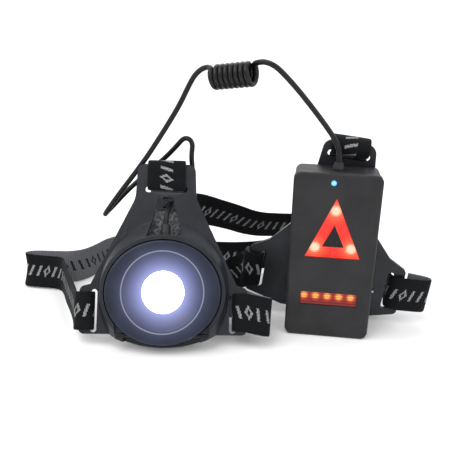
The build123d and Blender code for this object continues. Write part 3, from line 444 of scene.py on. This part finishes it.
for step in range(1, TURNS * PER_TURN):
    angle = 2 * math.pi * step / PER_TURN
    around = (coil_up * math.cos(angle) + coil_front * math.sin(angle)) * (COIL - CORD) / 2
    shift = (step / (TURNS * PER_TURN) - 0.5) * (25.0 - CORD)
    coil_run.append(LAYOUT @ (coil_middle + coil_axis * shift + around * 1.015))
route = lamp_run + rising_run + coil_run + falling_run
print("route points:", len(route))

# %% [markdown]
# The curve is read twice: bare, it gives the line that the cable follows, and with its round bevel
# and closed ends it gives the cable's skin. The skin is kept as a mesh, because the box of a curve
# grows by its points' radius, which is one metre unless it is set, and other views go by that box.

# %% Cable
cable_curve = bpy.data.curves.new("cable_line", "CURVE")
cable_curve.dimensions = "3D"
cable_curve.resolution_u = 4
spline = cable_curve.splines.new("NURBS")
spline.points.add(len(route) - 1)
for point, place in zip(spline.points, route):
    point.co = (*place, 1)
spline.order_u = 3
spline.use_endpoint_u = True
line = add_object("cable_line", cable_curve)


def as_mesh(source):
    """What a curve looks like now, as a mesh."""
    bpy.context.view_layer.update()
    return bpy.data.meshes.new_from_object(source.evaluated_get(
        bpy.context.evaluated_depsgraph_get()))


centre_line = [point.co.copy() for point in as_mesh(line).vertices]
cable_curve.bevel_depth = CORD / 2 * MM
cable_curve.bevel_resolution = 5
cable_curve.use_fill_caps = True
cable = add_object("cable", as_mesh(line))
bpy.data.objects.remove(line)
cable.data.polygons.foreach_set("use_smooth", [True] * len(cable.data.polygons))
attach(cable, "frame")
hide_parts("cord_lamp_side", "cord_coil", "cord_case_side")
cable_length = sum((b - a).length for a, b in zip(centre_line, centre_line[1:]))
jacket, tree, surface = blank("soft_pvc_jacket", IOR=1.5, Roughness=0.34,
                              Specular_IOR_Level=0.3)
tree.links.new(blend_colours(tree, noise(tree, 5.0, 2.0), colour("#08080a"), colour("#101012")),
               surface.inputs["Base Color"])
skin = add(tree, "ShaderNodeBump", {"Height": noise(tree, 0.9, 2.0), "Strength": 0.15,
                                    "Distance": 0.00005})
tree.links.new(skin.outputs[0], surface.inputs["Normal"])
cable.data.materials.append(jacket)
print("cable length in mm:", round(cable_length / MM, 1))

# %% [markdown]
# Elastic webbing is a flat woven ribbon, 20 mm wide and 1.2 mm thick. It is stiff across its width
# and soft along it, so its shape is known from where its middle runs and which way its width
# points. Each strap is given as such stations. The corners between stations are cut twice, which
# turns the folds round the plates' bars into smooth bends.

# %% Strap stations
def stations(place, width_way, *points):
    """Stations with their width along one direction, both given where the strap is held."""
    way = (place.to_3x3() @ Vector(width_way)).normalized()
    return [(place @ Vector(point), way) for point in points]


def turned_over(run):
    """The same run once the strap shows its other face."""
    return [(point, -way) for point, way in run]


def straight_run(start, end, way, lead=4.0):
    """A stretch that a slider can travel."""
    step = (end - start).normalized() * lead * MM
    return [(point, way) for point in (start, start + step, end - step, end)]


def turning(*pairs):
    """Stations that each have their own width direction."""
    return [(LAYOUT @ Vector(point), Vector(way).normalized()) for point, way in pairs]


v = 19.0
left_run = stations(PLATE, (0, 1, 0), (-42.8, v, -1.1), (-38.6, v, -1.1), (-36.8, v, -0.6),
                    (-36.5, v, 1.25), (-36.8, v, 3.1), (-38.8, v, 4.3), (-43.4, v, 4.4),
                    (-46.2, v, 2.2), (-46.8, v, -3.0))
left_run += stations(LAYOUT, (0, 0.25, 1), (-90, -8, 12.6), (-99, 12, 11.2), (-104.5, 26, 10.8))
left_run += stations(LAYOUT, (0, 0.45, 1), (-109, 32.5, 10.4), (-118, 34.2, 10.2),
                     (-127.2, 35.2, 10.2), (-130.2, 36.6, 10.2), (-131.2, 39, 10.2),
                     (-130.2, 41.4, 10.2), (-127.2, 42.8, 10.2), (-116, 42.8, 10.2),
                     (-105, 42.4, 10.4))
left_run += stations(LAYOUT, (0, 0.15, 1), (-97, 46, 10.6), (-91, 56, 10.6), (-86, 68, 10.6),
                     (-77, 75.5, 10.6), (-62, 76, 10.6))
left_run += turning(((-52, 74.8, 10.8), (0, 0.7, 0.7)), ((-42, 72.6, 11), (0, 1, 0)),
                    ((-32, 70.4, 11), (0, 0.7, -0.7)))
behind = stations(LAYOUT, (0, 0, 1), (-20, 68, 10.8), (-2, 67.2, 10.8), (14, 68, 11.6))
behind += straight_run(LAYOUT @ Vector((22, 66, 13.6)), LAYOUT @ Vector((60, 46, 13.6)), UP)
behind += stations(LAYOUT, (0, 0, 1), (74, 35.4, 14.6), (84.4, 26.4, 17), (90, 16, 19))
v = 24.0
behind += stations(REAR, (0, 0, 1), (36.9, 29.4, v), (36.2, 25.0, v), (37.4, 21.4, v),
                   (40.6, 20.4, v), (44.4, 20.6, v), (50, 21.7, v), (56.4, 23.0, v),
                   (58.6, 24.2, v), (59.3, 25.9, v), (58.6, 27.6, v), (56.4, 28.8, v),
                   (47, 29.8, v))
left_run += turned_over(behind)
print("left strap stations:", len(left_run))

# %% Right and shoulder straps
v = 19.0
right_run = stations(PLATE, (0, 1, 0), (42.8, v, -1.1), (38.6, v, -1.1), (36.8, v, -0.6),
                     (36.5, v, 1.25), (36.8, v, 3.1), (38.8, v, 4.3), (43.4, v, 4.7))
right_run += stations(PLATE, (0.06, 1, 0), (49, v - 1.2, 4.8), (54.6, v - 2.4, 3.8),
                      (56.6, v - 2.4, 0.4), (54.4, v - 1.6, -3.2), (48, v - 0.4, -6.0))
right_run += straight_run(LAYOUT @ Vector((2, -8.5, 13.4)), LAYOUT @ Vector((-36, 11.5, 13.4)), UP)
right_run += stations(LAYOUT, (0, 0.1, 1), (-43, 17.0, 12.4), (-45, 22.5, 11.4),
                      (-39, 27.2, 10.6), (-26, 29.8, 10.6), (-12, 31, 10.6))
right_run += stations(LAYOUT, (0, 0, 1), (-4, 31.8, 11.6), (2.4, 30.2, 15), (6.4, 26, 19.6),
                      (7.4, 20.2, 24.6))
v = 24.0
right_run += stations(REAR, (0, 0, 1), (-46.4, 29.0, v), (-47.2, 24.0, v), (-45.2, 20.6, v),
                      (-41.5, 20.0, v), (-37.4, 20.9, v), (-36.4, 22.2, v), (-36.5, 24.9, v),
                      (-38.0, 26.2, v), (-43, 26.4, v))
shoulder_run = stations(PLATE, (1, 0, 0), (0, 93, -1.1), (0, 86, -1.1), (0, 84.2, -0.6),
                        (0, 83.9, 1.25), (0, 84.2, 3.1), (0, 86, 4.2), (0, 89, 4.5),
                        (0, 96.6, 4.5), (0, 99.7, 1.7), (0, 98.9, -2.6), (0, 92, -9.4),
                        (0, 84, -13.6), (0, 74, -16.4))
shoulder_run += turning(((-33.5, 18.5, 58.5), (0.8, 0, -0.5)), ((-28, 29, 55.5), (0.45, 0.25,
                                                                                  -0.8)),
                        ((-20, 40, 52), (0.15, 0.4, -0.9)))
over = stations(LAYOUT, (-0.1, -0.45, 1), (-4, 49, 45.5), (12, 56, 38), (28, 60.5, 36.4),
                (44, 61, 36.6))
over += turning(((55, 58.5, 36.8), (0.2, -0.3, 0.9)), ((63, 52, 37.6), (0.5, -0.1, 0.8)),
                ((67.5, 43, 38.6), (0.75, 0.1, 0.55)), ((68.6, 33.5, 41.6), (0.9, 0.15, 0.3)),
                ((67.2, 26, 45), (0.97, 0.1, 0.15)))
over += straight_run(REAR @ Vector((9, 42.5, 50)), REAR @ Vector((2.5, 38.5, 86)),
                     (REAR.to_3x3() @ Vector((1, 0, 0))).normalized())
v = 97.0
over += stations(REAR, (1, 0, 0), (0.5, 31.5, v - 3), (0, 26.2, v - 0.4), (0, 22.6, v + 0.2),
                 (0, 19.8, v + 0.8), (0, 17.2, v + 2.8), (0, 17.4, v + 6.6), (0, 20.4, v + 9.4),
                 (0, 25.4, v + 9.8), (0, 29.4, v + 7.2), (0, 30.4, v + 2.6))
shoulder_run += turned_over(over)
print("right and shoulder stations:", len(right_run), len(shoulder_run))

# %% [markdown]
# Each strap becomes one closed mesh. Every station gives a ring of points: two sides of the ribbon
# with a thin rounded selvedge. The two faces get different materials, because the pattern is woven
# as two layers that swap colours: pale on black in front is black on grey behind. The UV map holds
# millimetres along and across the strap, which is what the weave is drawn with.

# %% Strap meshes
STRAP_W, STRAP_T = 20.0, 1.2
ACROSS = [-1.0, -0.97, -0.9, -0.6, -0.3, 0.0, 0.3, 0.6, 0.9, 0.97, 1.0]
THICK = [0.35, 0.72, 0.95, 1.0, 1.0, 1.0, 1.0, 1.0, 0.95, 0.72, 0.35]


def cut_corners(run):
    """Corner cutting: each stretch keeps its middle half, and the two ends stay."""
    cut = [run[0]]
    for (a, way_a), (b, way_b) in zip(run, run[1:]):
        cut.append((a.lerp(b, 0.25), way_a.lerp(way_b, 0.25).normalized()))
        cut.append((a.lerp(b, 0.75), way_a.lerp(way_b, 0.75).normalized()))
    return cut + [run[-1]]


def strap(node, run, dark_side, black_from=1000.0):
    """The webbing for one CAD strap; dark_side is its black face, 1 or -1. From black_from
    millimetres on, both of its faces are drawn black."""
    name = node.replace("strap", "webbing")
    run = cut_corners(cut_corners(run))
    build = bmesh.new()
    uv_layer = build.loops.layers.uv.new("weave")
    rings, travelled, length = [], [], 0.0
    for i, (here, way) in enumerate(run):
        along = (run[min(i + 1, len(run) - 1)][0] - run[max(i - 1, 0)][0]).normalized()
        width = (way - along * way.dot(along)).normalized()
        out = along.cross(width)
        length += (here - run[i - 1][0]).length if i else 0.0
        travelled.append(length / MM)
        rings.append([[build.verts.new(here + width * (a * STRAP_W / 2 * MM)
                                       + out * (face * t * STRAP_T / 2 * MM))
                       for a, t in zip(ACROSS, THICK)] for face in (1, -1)])
    last = len(ACROSS) - 1

    def skin(corners, places, material):
        face = build.faces.new(corners)
        face.smooth = True
        face.material_index = material
        for loop, place in zip(face.loops, places):
            loop[uv_layer].uv = place

    for i in range(len(rings) - 1):
        u0, u1 = travelled[i], travelled[i + 1]
        for face in (0, 1):
            row, after = rings[i][face], rings[i + 1][face]
            dark = (face == 0) == (dark_side > 0) or u0 > black_from
            material = 0 if dark else 1
            for k in range(last):
                v0, v1 = ACROSS[k] * 10, ACROSS[k + 1] * 10
                corners = [row[k], after[k], after[k + 1], row[k + 1]]
                places = [(u0, v0), (u1, v0), (u1, v1), (u0, v1)]
                if face:
                    corners.reverse()
                    places.reverse()
                skin(corners, places, material)
        for k, value in ((0, -10.0), (last, 10.0)):
            corners = [rings[i][0][k], rings[i][1][k], rings[i + 1][1][k], rings[i + 1][0][k]]
            places = [(u0, value), (u0, value), (u1, value), (u1, value)]
            if k:
                corners.reverse()
                places.reverse()
            skin(corners, places, 0)
    for i, flip in ((0, False), (-1, True)):
        ends = rings[i][0] + rings[i][1][::-1]
        skin(ends[::-1] if flip else ends, [(travelled[i], 0.0)] * len(ends), 0)
    bmesh.ops.recalc_face_normals(build, faces=build.faces)
    mesh = bpy.data.meshes.new(name)
    build.to_mesh(mesh)
    build.free()
    made = add_object(name, mesh)
    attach(made, "frame")
    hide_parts(node)
    print(name, "is", round(length / MM, 1), "mm long,", len(mesh.polygons), "faces")
    return made


straps = [strap("left_strap", left_run, -1), strap("right_strap", right_run, 1),
          strap("shoulder_strap", shoulder_run, -1, 214.0)]

# %% [markdown]
# The weave is drawn from the strap's own millimetres. Ribs run across it every 1.2 mm with fine
# threads between them, and the band in the middle carries a plain geometric motif: slanted
# strokes with a diamond after every third one. The motif's outline moves in steps of a thread, as
# a woven one does. Real threads are 0.3 mm apart, and they are drawn at 0.5 mm so that they show.

# %% Woven elastic
def woven(name, ground, figure, groove_shade):
    made, tree, surface = blank(name, Roughness=0.85, Specular_IOR_Level=0.12, Sheen_Weight=0.03,
                                Sheen_Roughness=0.5)
    place = add(tree, "ShaderNodeUVMap", uv_map="weave").outputs[0]
    parts = add(tree, "ShaderNodeSeparateXYZ", {0: place}).outputs
    along = math_of(tree, "SNAP", parts["X"], 0.5)
    across_mm = math_of(tree, "SNAP", parts["Y"], 0.5)
    slanted = math_of(tree, "MULTIPLY", math_of(tree, "ADD", along, math_of(
        tree, "MULTIPLY", across_mm, 0.3)), 1 / 5.0)
    cell = math_of(tree, "FLOORED_MODULO", math_of(tree, "FLOOR", slanted), 4.0)
    inside = math_of(tree, "MULTIPLY", math_of(tree, "SUBTRACT", math_of(
        tree, "FRACT", slanted), 0.5), 5.0)
    sideways = math_of(tree, "ABSOLUTE", inside)
    upward = math_of(tree, "ABSOLUTE", across_mm)
    stroke = math_of(tree, "MULTIPLY", math_of(tree, "LESS_THAN", sideways, 0.75),
                     math_of(tree, "LESS_THAN", upward, 3.4))
    reach = math_of(tree, "ADD", sideways, math_of(tree, "MULTIPLY", upward, 0.6))
    diamond = math_of(tree, "MULTIPLY", math_of(tree, "LESS_THAN", reach, 2.2),
                      math_of(tree, "GREATER_THAN", reach, 1.0))
    third = math_of(tree, "GREATER_THAN", cell, 2.5)
    motif = add(tree, "ShaderNodeMix", {"Factor": third, 2: stroke, 3: diamond}).outputs[0]
    ribs = math_of(tree, "SINE", math_of(tree, "MULTIPLY", parts["X"], 2 * math.pi / 1.2))
    threads = math_of(tree, "SINE", math_of(tree, "MULTIPLY", parts["Y"], 2 * math.pi / 0.9))
    weave = math_of(tree, "ADD", math_of(tree, "MULTIPLY", ribs, 0.7), math_of(
        tree, "MULTIPLY", math_of(tree, "MULTIPLY", ribs, threads), 0.5))
    worn = noise(tree, 7.0, 3.0)
    base = blend_colours(tree, motif, colour(ground), colour(figure))
    # Painted shade: the weave's low parts, between ribs and threads, are mixed towards the last,
    # darker colour, and the 7 mm noise makes that darkening uneven at random.
    shade_and_wear = spread(tree, math_of(tree, "ADD", weave, worn), -1.2, 1.0, 0.75, 0.0)
    shaded = blend_colours(tree, shade_and_wear, base, colour(groove_shade))
    tree.links.new(shaded, surface.inputs["Base Color"])
    bump = add(tree, "ShaderNodeBump", {"Height": weave, "Strength": 0.6, "Distance": 0.00015})
    tree.links.new(bump.outputs[0], surface.inputs["Normal"])
    return made


# The last colour of each weave is the painted shade in the hollows between its ribs and threads.
face_weave = woven("woven_elastic_black", "#101215", "#8f9092", "#050506")
back_weave = woven("woven_elastic_grey", "#6a6c71", "#1b1c1f", "#2a2b2e")
for webbing in straps:
    webbing.data.materials.append(face_weave)
    webbing.data.materials.append(back_weave)
print("weaves:", face_weave.name, back_weave.name)

# %% [markdown]
# The pads are open-cell foam with a knitted face. Cut foam has no sharp edge: the blade drags it
# and the glued face pulls it in. A copy of each CAD pad is rebuilt as an even mesh of small
# squares, smoothed until its rim is round, and then roughened by half a tenth of a millimetre.
# The front pad is drawn 3.4 mm taller than its solid, so that it fills more of the window.

# %% Foam pads
PAD_HIGH, PAD_RISE = 68.0, 3.4
FOAM_GRAIN, FOAM_VOXEL, FOAM_ROUGH = 1.6, 0.7, 0.1
grain_texture = bpy.data.textures.new("foam_grain", "CLOUDS")
grain_texture.noise_scale = FOAM_GRAIN * MM


def foam_pad(node, place, high, rise):
    """The pad is drawn taller than its CAD solid by rise, above the height high."""
    mesh = nodes[node].data.copy()
    mesh.materials.clear()
    lift = place.to_3x3() @ Vector((0, 1, 0)) * rise
    for point in mesh.vertices:
        if (place.inverted() @ point.co).y > high:
            point.co += lift
    pad = add_object(node.replace("pad", "foam"), mesh)
    remesh = pad.modifiers.new("even", "REMESH")
    remesh.mode = "VOXEL"
    remesh.voxel_size = FOAM_VOXEL * MM
    rounding = pad.modifiers.new("round", "SMOOTH")
    rounding.iterations = 6
    rounding.factor = 0.5
    roughen = pad.modifiers.new("rough", "DISPLACE")
    roughen.texture = grain_texture
    roughen.texture_coords = "LOCAL"
    roughen.strength = FOAM_ROUGH * MM
    bpy.context.view_layer.update()
    shaped = bpy.data.meshes.new_from_object(pad.evaluated_get(
        bpy.context.evaluated_depsgraph_get()))
    pad.modifiers.clear()
    pad.data = shaped
    shaped.polygons.foreach_set("use_smooth", [True] * len(shaped.polygons))
    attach(pad, "frame")
    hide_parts(node)
    print(pad.name, "has", len(shaped.vertices), "points")
    return pad


foam, tree, surface = blank("polyurethane_foam_grey", Roughness=0.95, Sheen_Weight=0.2)
place = add(tree, "ShaderNodeTexCoord")
cells = add(tree, "ShaderNodeTexVoronoi", {"Vector": place.outputs["Object"],
                                           "Scale": 1000 / 1.3}).outputs["Distance"]
mottled = blend_colours(tree, spread(tree, noise(tree, 2.2, 3.0), 0.35, 0.65, 0.0, 1.0),
                        colour("#3b3c40"), colour("#75757a"))
# The pores are painted dark grey as painted shade inside the open cells, over the foam's own
# mottled tone.
shaded_pores = blend_colours(tree, spread(tree, cells, 0.1, 0.6, 1.0, 0.0), mottled, colour("#232427"))
tree.links.new(shaded_pores, surface.inputs["Base Color"])
bump = add(tree, "ShaderNodeBump", {"Height": cells, "Strength": 0.7, "Distance": 0.0004})
tree.links.new(bump.outputs[0], surface.inputs["Normal"])
for pad in (foam_pad("front_pad", PLATE, PAD_HIGH, PAD_RISE),
            foam_pad("rear_pad", REAR, math.inf, 0.0)):
    pad.data.materials.append(foam)

# %% [markdown]
# The front plate keeps its CAD solid. It is a moulded shell whose skirt rises to the lamp, and all
# that it lacks is the small radius that every moulded edge has.

# %% Front plate
for held in nodes["front_plate"].material_slots:
    held.material = plate_abs
soften("front_plate", 0.5)
print("front plate points:", len(nodes["front_plate"].data.vertices))
